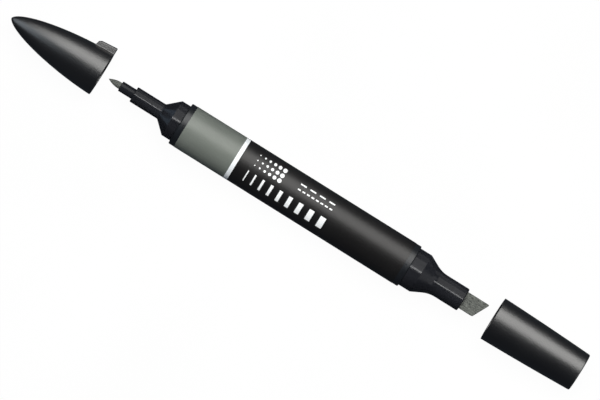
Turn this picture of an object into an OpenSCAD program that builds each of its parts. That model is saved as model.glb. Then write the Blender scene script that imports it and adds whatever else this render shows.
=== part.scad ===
// Twin-tip felt marker, laid on its side with both caps pulled off along its own axis.
// +X runs from the fine tip to the broad tip, the chisel edge's long corner and the fine cap's lug
// point to +Y, and the origin is on the axis at the middle of the barrel. Sizes are in millimetres.

/* [Barrel] */
// Length of the barrel from end face to end face
barrel_len = 84.4; // [65:0.1:110]
// Outside diameter of the barrel
barrel_d = 14.5; // [12:0.1:18]
// Wall of the barrel
barrel_wall = 1.2; // [1.1:0.05:1.5]
// Chamfer round both ends of the barrel
barrel_chamfer = 0.3; // [0.1:0.05:0.5]
// Number of ribs inside the barrel that centre the ink reservoir
rib_count = 6; // [3:1:8]
// Height of each rib above the bore
rib_h = 0.8; // [0.5:0.05:0.9]
// Thickness of each rib
rib_t = 0.8; // [0.5:0.1:1.2]

/* [Label] */
// Thickness of the printed film round the barrel
label_t = 0.06; // [0.04:0.01:0.1]
// Bare barrel left between each end face and the film
label_margin = 2; // [1:0.1:5]
// Length of the ink-coloured band
colour_len = 18.2; // [8:0.1:24]
// Length of the white stripe beside it
stripe_len = 1.4; // [0.8:0.1:4]

/* [Print on the label] */
// Thickness of the white ink
print_t = 0.03; // [0.02:0.01:0.05]
// Distance from the white stripe to the first mark
print_gap = 4.2; // [2:0.1:8]
// Length of the row of strokes that shows the line widths
scale_len = 28.7; // [20:0.1:36]
// Number of strokes in that row, from the thinnest to the thickest
stroke_count = 9; // [3:1:12]
// Width of the thinnest stroke
stroke_min = 0.35; // [0.2:0.05:0.6]
// Width of the thickest stroke
stroke_max = 2; // [1:0.1:2]
// Height of the strokes, across the marker
stroke_h = 3.6; // [2:0.1:4]
// Offset of each printed row from the marker's middle line
row_offset = 3; // [2.2:0.1:3.2]
// Columns of dots in the tone sample
dot_columns = 6; // [3:1:7]
// Distance between neighbouring dots
dot_pitch = 1.8; // [1.4:0.1:2]
// Diameter of the smallest dot
dot_min = 0.4; // [0.3:0.05:0.6]
// Diameter of the largest dot
dot_max = 1.4; // [0.8:0.05:1.4]
// Length of the dashed line samples
dash_row_len = 12.5; // [8:0.1:16]
// Width of the dashes
dash_w = 0.45; // [0.3:0.05:0.8]

/* [Ink reservoir] */
// Thickness of the film round the fibre core
wrap_t = 0.1; // [0.05:0.05:0.2]
// Gap between the reservoir and each holder's plug
reservoir_gap = 0.5; // [0.2:0.1:2]
// How far each nib reaches into the fibre core
nib_dip = 3; // [1:0.5:6]

/* [Fine holder] */
// Barrel's end face left showing round the fine flange
fine_ledge = 1; // [0.8:0.05:1.05]
// Length of the fine flange
fine_flange_len = 3.1; // [2:0.1:5]
// Length of the cone between the fine flange and its tube
fine_cone_len = 3.9; // [3:0.1:6]
// Length of the fine tube
fine_tube_len = 10.2; // [7:0.1:14]
// Wall of the fine tube round the nib sleeve
fine_tube_wall = 0.95; // [0.8:0.05:1.2]
// Depth of both holders' plugs in the barrel
plug_len = 6; // [4:0.5:9]
// Wall of both holders' plugs
plug_wall = 1.1; // [0.8:0.1:1.6]

/* [Fine nib] */
// Diameter of the fine nib
fine_nib_d = 2.2; // [1.8:0.1:2.8]
// Length of the fine nib that shows in front of its sleeve
fine_nib_out = 4.4; // [3:0.1:6]
// Length of the fine nib's pointed end
fine_point_len = 3.9; // [2:0.1:4.1]
// Wall of the nib sleeve
sleeve_wall = 0.6; // [0.4:0.05:0.7]
// Length of the nib sleeve that shows in front of the fine tube
sleeve_out = 4.85; // [3:0.05:6]
// Depth of the nib sleeve in the fine tube
sleeve_seat = 4; // [2:0.5:6]

/* [Broad holder] */
// Barrel's end face left showing round the broad flange
broad_ledge = 0.6; // [0.5:0.05:0.8]
// Length of the broad flange
broad_flange_len = 4.1; // [2:0.1:5]
// Length of the cone between the broad flange and its tube
broad_cone_len = 5.7; // [4:0.1:9]
// Length of the broad tube
broad_tube_len = 10; // [7:0.1:14]
// Thinnest wall of the broad tube, at the corners of the chisel nib
broad_tube_wall = 0.5; // [0.4:0.05:0.8]

/* [Chisel nib] */
// Width of the chisel nib
chisel_w = 5.9; // [4.8:0.1:7.2]
// Thickness of the chisel nib
chisel_t = 3.4; // [2.6:0.1:4.2]
// Length of the chisel nib's long side in front of the broad tube
chisel_out = 7.9; // [6:0.1:11]
// Angle of the writing edge away from square
chisel_angle = 26.5; // [5:0.5:35]
// Radius of the writing edge's corners and of the nib's long edges
chisel_round = 0.3; // [0.2:0.05:0.6]

/* [Caps] */
// How far a cap's mouth stands proud of the barrel all round
cap_step = 0.15; // [0.05:0.01:0.3]
// Wall of both caps behind the mouth
cap_wall = 0.95; // [0.8:0.05:1.1]
// Radial clearance between a cap's mouth and its flange, and between a liner and its tube
cap_fit = 0.08; // [0.05:0.01:0.1]
// Extra depth of a cap's mouth bore behind its flange
mouth_extra = 0.8; // [0.3:0.1:1.2]
// Wall of both inner liners
liner_wall = 0.6; // [0.4:0.05:0.7]
// Free length in front of each nib inside its liner
nib_room = 1; // [0.8:0.1:3]
// Gap between a cone's end and the liner's mouth when a cap is on
liner_setback = 1.5; // [1:0.1:3]
// Rounding of both caps' mouth edges
mouth_round = 0.2; // [0.1:0.05:0.3]

/* [Fine cap] */
// Distance from the fine cap's mouth to the barrel with the cap off
fine_cap_off = 28.95; // [0.05:0.05:60]
// Length of the solid nose in front of the liner
fine_nose_len = 5.25; // [4.5:0.1:8]
// How early the fine cap's outline swells; higher is fuller
ogive_rise = 1.69; // [1.6:0.01:2]
// How blunt the fine cap's tip is; higher is blunter
ogive_blunt = 1.66; // [1.5:0.01:1.9]
// Free room round the tip end of the fine liner's bore
sleeve_room = 0.2; // [0.1:0.05:0.4]

/* [Lug] */
// Length of the lug along the fine cap
lug_len = 6.6; // [4:0.1:9]
// Width of the lug
lug_w = 3.6; // [2:0.1:5]
// Height of the lug above the cap at its mouth
lug_h = 2.05; // [1:0.05:3]
// Height of the lug where its top begins
lug_front_h = 1.55; // [0.8:0.05:2]
// Length of the lug's sloping front
lug_slope = 1.2; // [0.5:0.1:2]

/* [Broad cap] */
// Distance from the broad cap's mouth to the barrel with the cap off
broad_cap_off = 30.7; // [0.05:0.05:60]
// Thickness of the broad cap's closed end
broad_end_t = 2.6; // [1.5:0.05:3]
// Gap between the broad liner and the shell at the closed end
broad_liner_gap = 0.85; // [0.7:0.05:1.2]
// How far the broad cap's side bulges from a straight taper
broad_bulge = 0.12; // [0:0.01:0.3]
// Rounding of the broad cap's closed end
broad_end_round = 0.4; // [0.2:0.05:0.6]
// Diameter of the ink-coloured disc in the broad cap's end
disc_d = 9.8; // [6:0.1:10.2]
// Thickness of the disc
disc_t = 0.4; // [0.3:0.05:0.6]
// Clearance round and above the disc in its recess
disc_fit = 0.1; // [0.05:0.01:0.15]
// Number of fins that centre the broad liner
fin_count = 6; // [3:1:8]
// Thickness of each fin
fin_t = 0.7; // [0.5:0.1:1]
// Free gap between a fin and the shell
fin_gap = 0.1; // [0.05:0.05:0.2]

/* [Hidden] */

round_fn = 96;
// small overrun that keeps a cut from ending on a face
over = 1;
// points in each rounded edge of a turned outline
edge_steps = 4;
// rounded edges of the flanges and of the ends of the tubes and the sleeve
flange_round = 0.3;
fine_tube_round = 0.25;
broad_tube_round = 0.45;
sleeve_round = 0.15;
// radial gap round the fine nib behind its sleeve
nib_bore_gap = 0.15;

black_satin = [0.11, 0.11, 0.12];
black_gloss = [0.07, 0.07, 0.09];
ink_grey = [0.47, 0.49, 0.46];
white = [0.95, 0.95, 0.94];
felt_grey = [0.5, 0.52, 0.48];
fibre_white = [0.86, 0.87, 0.84];
clear_film = [0.8, 0.83, 0.85];
liner_natural = [0.8, 0.81, 0.8];

barrel_r = barrel_d / 2;
label_x = -barrel_len / 2 + label_margin;
stripe_x = label_x + colour_len;
field_x = stripe_x + stripe_len;
bore_r = barrel_r - barrel_wall;
reservoir_r = bore_r - rib_h;
reservoir_len = barrel_len - 2 * (plug_len + reservoir_gap);
nib_tail = plug_len + reservoir_gap + nib_dip;

fine_flange_r = barrel_r - fine_ledge;
fine_nib_r = fine_nib_d / 2;
sleeve_r = fine_nib_r + sleeve_wall;
fine_tube_r = sleeve_r + fine_tube_wall;
fine_cone_end = fine_flange_len + fine_cone_len;
fine_tube_end = fine_cone_end + fine_tube_len;
sleeve_end = fine_tube_end + sleeve_out;
fine_reach = sleeve_end + fine_nib_out;

broad_flange_r = barrel_r - broad_ledge;
broad_tube_r = sqrt(pow(chisel_w / 2, 2) + pow(chisel_t / 2, 2)) + broad_tube_wall;
broad_cone_end = broad_flange_len + broad_cone_len;
broad_tube_end = broad_cone_end + broad_tube_len;
broad_reach = broad_tube_end + chisel_out;

cap_mouth_r = barrel_r + cap_step;
fine_liner_r = fine_tube_r + cap_fit + liner_wall;
fine_tip_bore_r = sleeve_r + sleeve_room;
fine_tip_r = fine_tip_bore_r + liner_wall;
fine_liner_end = fine_reach + nib_room + liner_wall;
fine_socket = fine_tube_end + (fine_liner_end - fine_tube_end) / 2;
fine_cap_len = fine_liner_end + fine_nose_len;

broad_liner_r = broad_tube_r + cap_fit + liner_wall;
broad_liner_end = broad_reach + nib_room + liner_wall;
broad_cap_len = broad_liner_end + broad_end_t;
broad_end_r = broad_liner_r + broad_liner_gap + cap_wall;

// radius of the fine cap's skin, t from 0 at its tip to 1 at its mouth
function ogive(t) = cap_mouth_r * pow(1 - pow(1 - t, ogive_rise), 1 / ogive_blunt);

// radius of the fine cap's skin at a depth x behind its mouth
function fine_skin(x) = ogive(1 - x / fine_cap_len);

// radius of the broad cap's skin at a depth x behind its mouth
function broad_skin(x) = let(t = x / broad_cap_len)
    cap_mouth_r + (broad_end_r - cap_mouth_r) * t + 4 * broad_bulge * t * (1 - t);

// rounded outside corner of a turned outline, centred at [r, x], from angle a to angle b
function corner(r, x, radius, a, b) = [
    for (i = [0:edge_steps])
        let(angle = a + (b - a) * i / edge_steps)
        [r + radius * cos(angle), x + radius * sin(angle)]
];

// evenly spaced values from a to b
function spread(a, b, count) = [for (i = [0:count]) a + (b - a) * i / count];

// turns an outline of [radius, x] points round the marker's axis
module turned(outline) {
    rotate([0, 90, 0]) rotate_extrude($fn = round_fn) polygon(outline);
}

// round bar along the axis from x = a to x = b
module bar(r, a, b) {
    translate([a, 0, 0]) rotate([0, 90, 0]) cylinder(r = r, h = b - a, $fn = round_fn);
}

// flat bar along the axis with rounded long edges, w across Y and t across Z
module rounded_bar(w, t, radius, a, b) {
    translate([a, 0, 0]) rotate([90, 0, 90]) linear_extrude(b - a) {
        square([w - 2 * radius, t], center = true);
        square([w, t - 2 * radius], center = true);
        for (side = [-1, 1], face = [-1, 1])
            translate([side * (w / 2 - radius), face * (t / 2 - radius)])
                circle(r = radius, $fn = 32);
    }
}

// thin fins that stand on a round piece, from radius a to radius b
module fins(count, thick, a, b, x, len) {
    for (i = [0:count - 1])
        rotate([360 / count * i, 0, 0])
            translate([x, a, -thick / 2]) cube([len, b - a, thick]);
}

// places a piece that is drawn outwards from the barrel's fine or broad end
module at_fine_end(off = 0) {
    translate([-barrel_len / 2 - off, 0, 0]) mirror([1, 0, 0]) children();
}

module at_broad_end(off = 0) {
    translate([barrel_len / 2 + off, 0, 0]) children();
}

module barrel() {
    end_x = barrel_len / 2;
    color(black_satin) {
        turned([
            [bore_r, -end_x], [barrel_r - barrel_chamfer, -end_x],
            [barrel_r, -end_x + barrel_chamfer], [barrel_r, end_x - barrel_chamfer],
            [barrel_r - barrel_chamfer, end_x], [bore_r, end_x],
        ]);
        difference() {
            fins(rib_count, rib_t, reservoir_r - over, bore_r + barrel_wall / 2,
                -reservoir_len / 2, reservoir_len);
            bar(reservoir_r, -end_x, end_x);
        }
    }
}

// thin ring on a round surface of radius r, from x = a to x = b
module film(r, thick, a, b) {
    turned([[r, a], [r + thick, a], [r + thick, b], [r, b]]);
}

module label_colour_band() {
    color(ink_grey) film(barrel_r, label_t, label_x, stripe_x);
}

module label_white_stripe() {
    color(white) film(barrel_r, label_t, stripe_x, field_x);
}

module label_black_field() {
    color(black_satin) film(barrel_r, label_t, field_x, barrel_len / 2 - label_margin);
}

// strokes from thin to thick, with equal gaps between them
module stroke_scale() {
    step = (stroke_max - stroke_min) / (stroke_count - 1);
    inked = stroke_count * (stroke_min + stroke_max) / 2;
    gap = (scale_len - inked) / (stroke_count - 1);
    for (i = [0:stroke_count - 1])
        translate([i * (stroke_min + gap) + step * i * (i - 1) / 2, -stroke_h / 2])
            square([stroke_min + step * i, stroke_h]);
}

// three rows of dots that grow from column to column
module tone_dots() {
    for (i = [0:dot_columns - 1], j = [-1:1])
        translate([dot_pitch * (i + 0.5), dot_pitch * j])
            circle(d = dot_min + (dot_max - dot_min) * i / (dot_columns - 1), $fn = 24);
}

// two dashed lines, the upper one with long dashes and the lower one with short dashes
module dash_samples() {
    inked = 0.6; // share of the pitch that a dash fills
    for (row = [[1, 4], [-1, 8]]) { // side of the row's middle, number of dashes
        pitch = dash_row_len / (row[1] - 1 + inked);
        for (i = [0:row[1] - 1])
            translate([pitch * i, row[0] * dot_pitch / 2 - dash_w / 2]) square([pitch * inked, dash_w]);
    }
}

module label_print() {
    start_x = field_x + print_gap;
    dashes_x = start_x + scale_len - dash_row_len;
    surface_r = barrel_r + label_t;
    color(white) intersection() {
        film(surface_r, print_t, start_x - over, start_x + scale_len + over);
        linear_extrude(barrel_d) {
            translate([start_x, -row_offset]) stroke_scale();
            translate([start_x, row_offset]) tone_dots();
            translate([dashes_x, row_offset]) dash_samples();
        }
    }
}

module reservoir_core() {
    color(fibre_white) difference() {
        bar(reservoir_r - wrap_t, -reservoir_len / 2, reservoir_len / 2);
        at_fine_end() bar(fine_nib_r, -nib_tail, 0);
        at_broad_end() rounded_bar(chisel_w, chisel_t, chisel_round, -nib_tail, 0);
    }
}

module reservoir_wrap() {
    inner_r = reservoir_r - wrap_t;
    half = reservoir_len / 2;
    color(clear_film)
        turned([[inner_r, -half], [reservoir_r, -half], [reservoir_r, half], [inner_r, half]]);
}

// plug, flange, cone and tube of a holder, drawn outwards from the barrel's end
module holder_body(flange_r, flange_len, cone_end, tube_r, tube_end, tube_round) {
    hollow_r = bore_r - plug_wall;
    difference() {
        turned(concat(
            [[0, -plug_len], [bore_r, -plug_len], [bore_r, 0], [flange_r, 0]],
            corner(flange_r - flange_round, flange_len - flange_round, flange_round, 0, 60),
            [[tube_r, cone_end]],
            corner(tube_r - tube_round, tube_end - tube_round, tube_round, 0, 90),
            [[0, tube_end]]
        ));
        bar(hollow_r, -plug_len - over, 0);
    }
}

module fine_holder() {
    color(black_gloss) at_fine_end() difference() {
        holder_body(fine_flange_r, fine_flange_len, fine_cone_end,
            fine_tube_r, fine_tube_end, fine_tube_round);
        bar(fine_nib_r + nib_bore_gap, -over, fine_tube_end);
        bar(sleeve_r, fine_tube_end - sleeve_seat, fine_tube_end + over);
    }
}

module fine_nib_sleeve() {
    start_x = fine_tube_end - sleeve_seat;
    color(black_gloss) at_fine_end() turned(concat(
        [[fine_nib_r, start_x], [sleeve_r, start_x]],
        corner(sleeve_r - sleeve_round, sleeve_end - sleeve_round, sleeve_round, 0, 90),
        [[fine_nib_r, sleeve_end]]
    ));
}

// fibre rod that ends in a rounded point, whose last twentieth runs straight to the tip
module fine_nib() {
    point_x = fine_reach - fine_point_len;
    color(felt_grey) at_fine_end() turned(concat(
        [[0, -nib_tail], [fine_nib_r, -nib_tail]],
        [for (t = spread(0, 0.95, 12)) [fine_nib_r * (1 - t * t), point_x + fine_point_len * t]],
        [[0, fine_reach]]
    ));
}

module broad_holder() {
    color(black_gloss) at_broad_end() difference() {
        holder_body(broad_flange_r, broad_flange_len, broad_cone_end,
            broad_tube_r, broad_tube_end, broad_tube_round);
        rounded_bar(chisel_w, chisel_t, chisel_round, -over, broad_tube_end + over);
    }
}

// outline of the chisel nib seen from above, with both corners of the writing edge rounded
module chisel_outline() {
    half = chisel_w / 2;
    back = chisel_w * tan(chisel_angle);
    square_end = broad_reach - back;
    difference() {
        polygon([
            [-nib_tail, -half], [square_end, -half], [broad_reach, half], [-nib_tail, half],
        ]);
        corner_cut([broad_reach, half], 90 - chisel_angle);
        mirror([0, 1]) corner_cut([square_end, half], 90 + chisel_angle);
    }
}

// what a rounding takes off a corner that points to +X and +Y; inside is the corner's own angle
module corner_cut(tip, inside) {
    reach = chisel_round / tan(inside / 2);
    difference() {
        polygon([
            tip + [over, over], tip + [-reach, over], tip + [-reach, 0], tip,
            tip - reach * [cos(inside), sin(inside)], tip - reach * [cos(inside), sin(inside)] + [over, 0],
        ]);
        translate(tip - [reach, chisel_round]) circle(r = chisel_round, $fn = 48);
    }
}

module chisel_nib() {
    color(felt_grey) at_broad_end() intersection() {
        rounded_bar(chisel_w, chisel_t, chisel_round, -nib_tail, broad_reach);
        translate([0, 0, -chisel_t / 2]) linear_extrude(chisel_t) chisel_outline();
    }
}

// the lug's side outline, x behind the mouth and y out from the axis
module lug() {
    bend = 0.7; // share of the sloping front at which it turns steeper
    top_x = lug_len - lug_slope;
    root_y = fine_skin(lug_len) - cap_wall / 2;
    translate([0, 0, -lug_w / 2]) linear_extrude(lug_w) polygon([
        [0, root_y], [0, cap_mouth_r + lug_h], [top_x, cap_mouth_r + lug_front_h],
        [top_x + lug_slope * bend, cap_mouth_r + lug_front_h * bend],
        [lug_len, fine_skin(lug_len) - mouth_round], [lug_len, root_y],
    ]);
}

// the skin's points lie closer together over the last 3 mm, where it curves most
module fine_cap() {
    mouth_depth = fine_flange_len + mouth_extra;
    mouth_bore_r = fine_flange_r + cap_fit;
    color(black_satin) at_fine_end(fine_cap_off) difference() {
        union() {
            turned(concat(
                [[0, 0]],
                corner(cap_mouth_r - mouth_round, mouth_round, mouth_round, -90, 0),
                [for (x = spread(1, fine_cap_len - 3, 18)) [fine_skin(x), x]],
                [for (x = spread(fine_cap_len - 2.6, fine_cap_len, 12)) [fine_skin(x), x]]
            ));
            lug();
        }
        turned(concat(
            [[0, -over], [mouth_bore_r, -over], [mouth_bore_r, mouth_depth]],
            [for (x = spread(mouth_depth, fine_socket, 10)) [fine_skin(x) - cap_wall - cap_fit, x]],
            [[0, fine_socket]]
        ));
        bar(fine_tip_r, fine_socket - over, fine_liner_end);
    }
}

// inner cup that closes round the fine tube, with a narrow end round the sleeve and nib
module fine_cap_liner() {
    mouth_x = fine_cone_end + liner_setback;
    step_x = fine_tube_end + cap_fit * 3; // the bore narrows just in front of the tube's end
    bore_r_wide = fine_tube_r + cap_fit;
    color(liner_natural) at_fine_end(fine_cap_off) turned([
        [0, fine_liner_end], [fine_tip_r, fine_liner_end], [fine_tip_r, step_x + liner_wall],
        [fine_liner_r, step_x + liner_wall], [fine_liner_r, mouth_x],
        [bore_r_wide + liner_wall / 2, mouth_x], [bore_r_wide, mouth_x + liner_wall],
        [bore_r_wide, step_x], [fine_tip_bore_r, step_x],
        [fine_tip_bore_r, fine_liner_end - liner_wall], [0, fine_liner_end - liner_wall],
    ]);
}

module broad_cap() {
    mouth_depth = broad_flange_len + mouth_extra;
    mouth_bore_r = broad_flange_r + cap_fit;
    color(black_satin) at_broad_end(broad_cap_off) difference() {
        turned(concat(
            [[0, 0]],
            corner(cap_mouth_r - mouth_round, mouth_round, mouth_round, -90, 0),
            [for (x = spread(1, broad_cap_len - 1, 12)) [broad_skin(x), x]],
            corner(broad_end_r - broad_end_round, broad_cap_len - broad_end_round, broad_end_round, 0, 90),
            [[0, broad_cap_len]]
        ));
        turned(concat(
            [[0, -over], [mouth_bore_r, -over], [mouth_bore_r, mouth_depth]],
            [for (x = spread(mouth_depth, broad_liner_end, 10)) [broad_skin(x) - cap_wall, x]],
            [[0, broad_liner_end]]
        ));
        bar(disc_d / 2 + disc_fit, broad_cap_len - disc_t - disc_fit, broad_cap_len + over);
    }
}

// inner cup that closes round the broad tube, with fins that centre it in the shell
module broad_cap_liner() {
    mouth_x = broad_cone_end + liner_setback;
    bore_r_wide = broad_tube_r + cap_fit;
    fin_r = broad_liner_r + broad_liner_gap - fin_gap;
    fin_x = mouth_x + liner_setback;
    color(liner_natural) at_broad_end(broad_cap_off) {
        turned([
            [0, broad_liner_end], [broad_liner_r, broad_liner_end], [broad_liner_r, mouth_x],
            [bore_r_wide + liner_wall / 2, mouth_x], [bore_r_wide, mouth_x + liner_wall],
            [bore_r_wide, broad_liner_end - liner_wall], [0, broad_liner_end - liner_wall],
        ]);
        fins(fin_count, fin_t, broad_liner_r - liner_wall / 2, fin_r, fin_x, broad_liner_end - fin_x);
    }
}

module broad_cap_disc() {
    floor_x = broad_cap_len - disc_t - disc_fit;
    color(ink_grey) at_broad_end(broad_cap_off) bar(disc_d / 2, floor_x, floor_x + disc_t);
}

barrel();
label_colour_band();
label_white_stripe();
label_black_field();
label_print();
reservoir_core();
reservoir_wrap();
fine_holder();
fine_nib_sleeve();
fine_nib();
broad_holder();
chisel_nib();
fine_cap();
fine_cap_liner();
broad_cap();
broad_cap_liner();
broad_cap_disc();
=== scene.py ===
import math

import bmesh
import bpy
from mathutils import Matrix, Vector, noise


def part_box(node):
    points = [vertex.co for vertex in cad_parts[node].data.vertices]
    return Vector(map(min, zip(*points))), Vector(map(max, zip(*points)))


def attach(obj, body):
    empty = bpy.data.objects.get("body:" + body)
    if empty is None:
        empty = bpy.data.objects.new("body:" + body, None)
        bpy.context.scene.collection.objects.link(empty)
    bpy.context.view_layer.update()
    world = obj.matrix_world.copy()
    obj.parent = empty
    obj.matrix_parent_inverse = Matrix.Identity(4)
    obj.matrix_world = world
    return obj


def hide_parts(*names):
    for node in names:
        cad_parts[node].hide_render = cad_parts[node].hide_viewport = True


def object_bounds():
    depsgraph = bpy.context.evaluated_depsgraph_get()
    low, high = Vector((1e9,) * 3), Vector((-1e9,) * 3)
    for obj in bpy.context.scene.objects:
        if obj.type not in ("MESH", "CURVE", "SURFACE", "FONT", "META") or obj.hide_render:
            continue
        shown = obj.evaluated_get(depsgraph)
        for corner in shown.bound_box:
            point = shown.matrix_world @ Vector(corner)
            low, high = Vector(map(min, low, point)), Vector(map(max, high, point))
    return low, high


# Twin-tip felt marker with both caps pulled off. Lengths in the dictionaries are in millimetres,
# +X runs from the fine tip to the broad tip, and a depth is counted outwards from a piece's own face.
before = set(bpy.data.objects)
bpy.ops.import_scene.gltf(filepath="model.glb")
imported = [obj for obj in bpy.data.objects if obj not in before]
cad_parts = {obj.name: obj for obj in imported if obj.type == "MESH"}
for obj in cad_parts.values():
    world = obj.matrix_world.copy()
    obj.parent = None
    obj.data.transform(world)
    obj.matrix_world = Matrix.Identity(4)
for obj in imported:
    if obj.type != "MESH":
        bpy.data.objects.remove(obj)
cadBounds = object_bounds()
mm = 0.001
print("frame loaded:", len(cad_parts), "nodes")


def toLinear(hexColour):
    channels = [int(hexColour[i:i + 2], 16) / 255 for i in (1, 3, 5)]
    return [c / 12.92 if c <= 0.04045 else ((c + 0.055) / 1.055) ** 2.4 for c in channels] + [1]


# adds a node to any tree, sets its properties, and sets or links its inputs
def addNode(tree, kind, settings=None, inputs=None):
    node = tree.nodes.new(kind)
    for name, value in (settings or {}).items():
        setattr(node, name, value)
    for name, value in (inputs or {}).items():
        if isinstance(value, bpy.types.NodeSocket):
            tree.links.new(value, node.inputs[name])
        else:
            node.inputs[name].default_value = value
    return node


# texture scale at which a pattern repeats about once in that many millimetres
def perMm(size):
    return 1 / (size * mm)


def boxMm(node):
    low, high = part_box(node)
    return low / mm, high / mm


def startMaterial(name, colour, look):
    material = bpy.data.materials.new(name)
    material.use_nodes = True
    tree = material.node_tree
    tree.nodes.clear()
    shader = addNode(tree, "ShaderNodeBsdfPrincipled", inputs={
        "Base Color": toLinear(colour), "Roughness": look["roughness"],
        "Specular IOR Level": look["specular"], "IOR": look.get("ior", 1.5),
    })
    addNode(tree, "ShaderNodeOutputMaterial", inputs={"Surface": shader.outputs["BSDF"]})
    coords = addNode(tree, "ShaderNodeTexCoord").outputs["Object"]
    return material, tree, shader, coords


# noise whose cells are size millimetres across, drawn out along the marker by stretch
def patternOf(tree, coords, size, detail=2, stretch=1, distortion=0):
    drawn = addNode(tree, "ShaderNodeMapping", inputs={"Vector": coords, "Scale": (1 / stretch, 1, 1)})
    return addNode(tree, "ShaderNodeTexNoise", inputs={
        "Vector": drawn.outputs["Vector"], "Scale": perMm(size), "Detail": detail, "Distortion": distortion,
    }).outputs["Fac"]


# mixes two patterns, with share as the second one's part
def mixPatterns(tree, first, second, share):
    part = addNode(tree, "ShaderNodeMath", {"operation": "MULTIPLY"}, {0: second, 1: share})
    return addNode(tree, "ShaderNodeMath", {"operation": "MULTIPLY_ADD"}, {
        0: first, 1: 1 - share, 2: part.outputs[0],
    }).outputs[0]


# takes the colour from one hex value to the other as the pattern rises
def colourBy(tree, shader, pattern, colourA, colourB, low=0.35, high=0.65):
    ramp = addNode(tree, "ShaderNodeValToRGB", inputs={"Fac": pattern})
    ramp.color_ramp.elements[0].position = low
    ramp.color_ramp.elements[0].color = toLinear(colourA)
    ramp.color_ramp.elements[1].position = high
    ramp.color_ramp.elements[1].color = toLinear(colourB)
    tree.links.new(ramp.outputs["Color"], shader.inputs["Base Color"])


# takes the roughness from the look's smoother end to its rougher end as the pattern rises
def roughenBy(tree, shader, pattern, look):
    level = addNode(tree, "ShaderNodeMapRange", inputs={
        "Value": pattern, "From Min": 0.3, "From Max": 0.7,
        "To Min": look["roughness"] - look["smoother"], "To Max": look["roughness"] + look["rougher"],
    })
    tree.links.new(level.outputs["Result"], shader.inputs["Roughness"])


# raises the surface by up to depth millimetres as the pattern rises, on top of any earlier relief
def raiseBy(tree, shader, height, depth, before=None):
    inputs = {"Height": height, "Distance": depth * mm, "Strength": 1}
    if before:
        inputs["Normal"] = before
    bump = addNode(tree, "ShaderNodeBump", inputs=inputs)
    tree.links.new(bump.outputs["Normal"], shader.inputs["Normal"])
    return bump.outputs["Normal"]


# polypropylene moulded against spark-eroded steel: a fine even grain breaks the highlight into sparkle
capFinish = {
    "dark": "#0d0d0e", "light": "#131314", "grain": 0.3, "grainDepth": 0.04, "cloud": 9,
    "roughness": 0.36, "smoother": 0.03, "rougher": 0.03, "specular": 1,
}


def capPlastic():
    s = capFinish
    material, tree, shader, coords = startMaterial("erodedMouldPolypropylene", s["dark"], s)
    grain = patternOf(tree, coords, s["grain"], 3)  # real grain is near 0.1 mm, drawn coarser so it shows
    cloud = patternOf(tree, coords, s["cloud"], 2, 2)
    colourBy(tree, shader, cloud, s["dark"], s["light"])
    roughenBy(tree, shader, cloud, s)
    raiseBy(tree, shader, grain, s["grainDepth"])
    return material


# polypropylene moulded against bead-blasted steel: satin, seen only at the bare ends of the barrel
barrelFinish = {
    "dark": "#15171a", "light": "#1b1e22", "grain": 0.4, "grainDepth": 0.012, "cloud": 6,
    "roughness": 0.38, "smoother": 0.03, "rougher": 0.03, "specular": 0.4,
}


def barrelPlastic():
    s = barrelFinish
    material, tree, shader, coords = startMaterial("satinMouldedPolypropylene", s["dark"], s)
    cloud = patternOf(tree, coords, s["cloud"], 2)
    colourBy(tree, shader, cloud, s["dark"], s["light"])
    roughenBy(tree, shader, cloud, s)
    raiseBy(tree, shader, patternOf(tree, coords, s["grain"], 2), s["grainDepth"])
    return material


# polypropylene moulded against polished steel: a clean narrow reflection with faint flow marks
holderFinish = {
    "dark": "#1c1d21", "light": "#222327", "flow": 3, "flowDepth": 0.003,
    "roughness": 0.13, "smoother": 0.02, "rougher": 0.04, "specular": 0.08,
}


def holderPlastic():
    s = holderFinish
    material, tree, shader, coords = startMaterial("polishedMouldPolypropylene", s["dark"], s)
    flow = patternOf(tree, coords, s["flow"], 2, 3)
    colourBy(tree, shader, flow, s["dark"], s["light"])
    roughenBy(tree, shader, flow, s)
    raiseBy(tree, shader, flow, s["flowDepth"])
    return material


# shrunk polyester film printed on its back: satin, with a slight ripple and a light scuffing
filmFinish = {
    "ripple": 1.6, "rippleDepth": 0.006, "scuff": 0.3, "scuffDepth": 0.006, "scuffShare": 0.5, "cloud": 4,
    "roughness": 0.43, "smoother": 0.05, "rougher": 0.05,
}


def labelFilm(name, colourA, colourB, specular):
    s = {**filmFinish, "specular": specular}
    material, tree, shader, coords = startMaterial(name, colourA, s)
    cloud = patternOf(tree, coords, s["cloud"], 3, 2)
    scuff = patternOf(tree, coords, s["scuff"], 2)  # real scuffs are finer, drawn coarser so they show
    colourBy(tree, shader, mixPatterns(tree, cloud, scuff, s["scuffShare"]), colourA, colourB)
    roughenBy(tree, shader, scuff, s)
    ripple = raiseBy(tree, shader, patternOf(tree, coords, s["ripple"], 1), s["rippleDepth"])
    raiseBy(tree, shader, scuff, s["scuffDepth"], ripple)
    return material


# opaque white screen ink: matt, with a faint mesh mottle
inkFinish = {
    "full": "#fbfdfd", "thin": "#e9edee", "mottle": 0.35, "mottleDepth": 0.006,
    "roughness": 0.55, "specular": 0.5,
}


def screenInk():
    s = inkFinish
    material, tree, shader, coords = startMaterial("whiteScreenInk", s["full"], s)
    mottle = patternOf(tree, coords, s["mottle"], 3)
    colourBy(tree, shader, mottle, s["thin"], s["full"], 0.3, 0.5)
    raiseBy(tree, shader, mottle, s["mottleDepth"])
    return material


# bonded polyester fibre soaked in ink: matt, with fibres along the nib and lighter dry specks
feltFinish = {
    "deep": "#383a38", "dry": "#71746f", "fibre": 0.2, "length": 2.5, "clump": 0.5, "fibreShare": 0.6,
    "fibreDepth": 0.03, "clumpDepth": 0.02,
    "roughness": 0.8, "smoother": 0.08, "rougher": 0.1, "specular": 0.25,
}


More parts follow.
